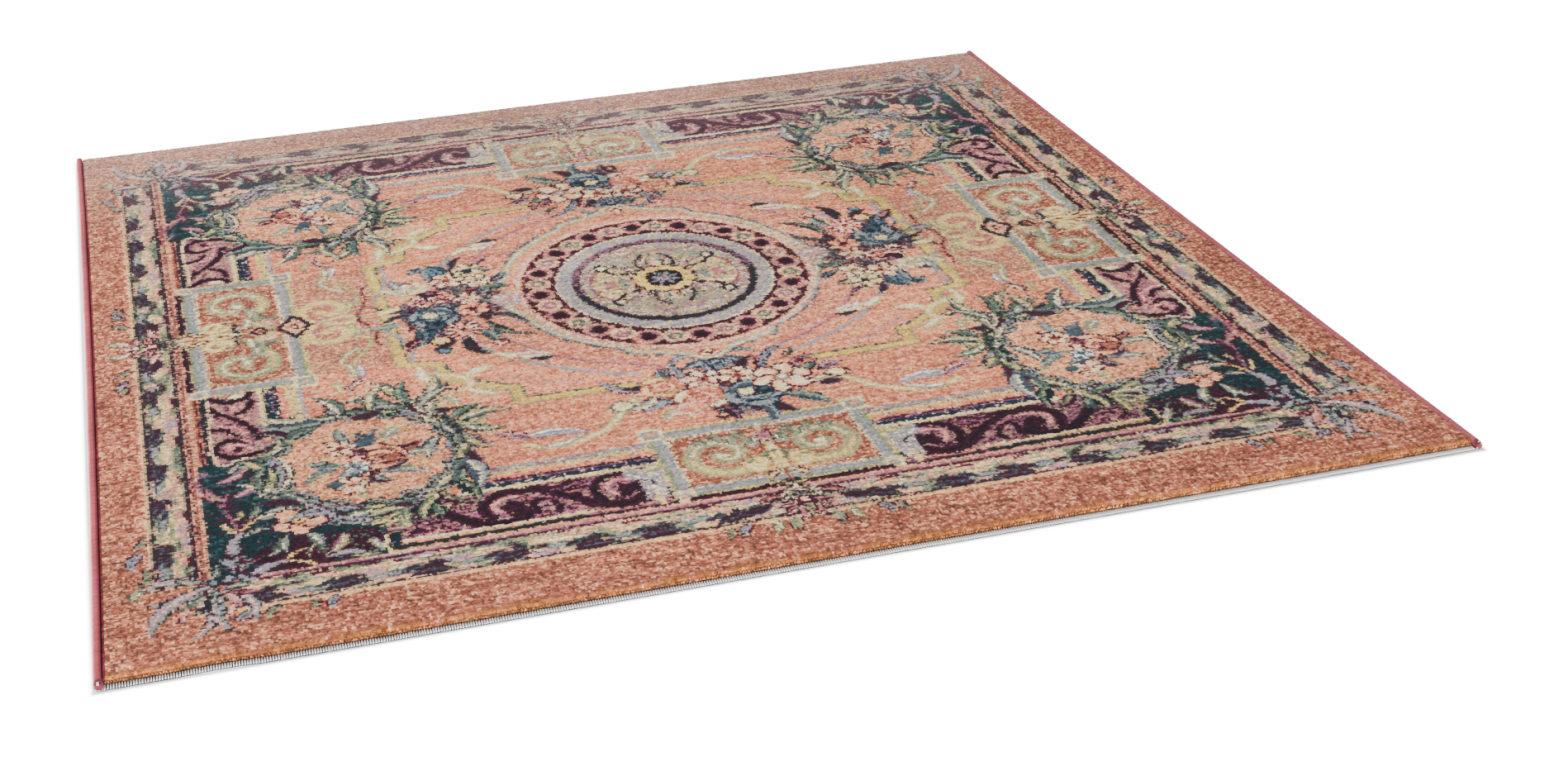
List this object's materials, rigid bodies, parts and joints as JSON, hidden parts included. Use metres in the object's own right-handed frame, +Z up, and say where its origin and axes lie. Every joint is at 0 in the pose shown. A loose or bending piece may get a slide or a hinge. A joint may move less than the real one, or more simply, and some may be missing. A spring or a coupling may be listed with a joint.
{
  "type": "square woven pile rug with round medallion",
  "caption": "Square wool pile rug with a round floral medallion, scroll cartouches and a leaf border, overcast at its sides and with flat-woven headings at its ends.",
  "frame": {"origin": "On the floor under the middle of the rug", "axes": "+X runs across the rug to its right binding, +Y away from the viewer to the far heading, +Z up out of the pile"},
  "size_m": [1.9998, 2, 0.0143],
  "materials": {
    "wool_pile": "Cut wool pile woven in terracotta, peach, plum, teal, grey-green, blue and cream yarns, matt with a soft nap",
    "heading_yarn": "Undyed flat-woven warp ends with dark gaps between the ribs, matt",
    "binding_yarn": "Dusty rose yarn overcast round the side, with a slight sheen along its crown"
  },
  "bodies": {
    "root": {"pile_cloth": "wool_pile", "heading_near": "heading_yarn", "heading_far": "heading_yarn", "binding_left": "binding_yarn", "binding_right": "binding_yarn"}
  },
  "joints": []
}
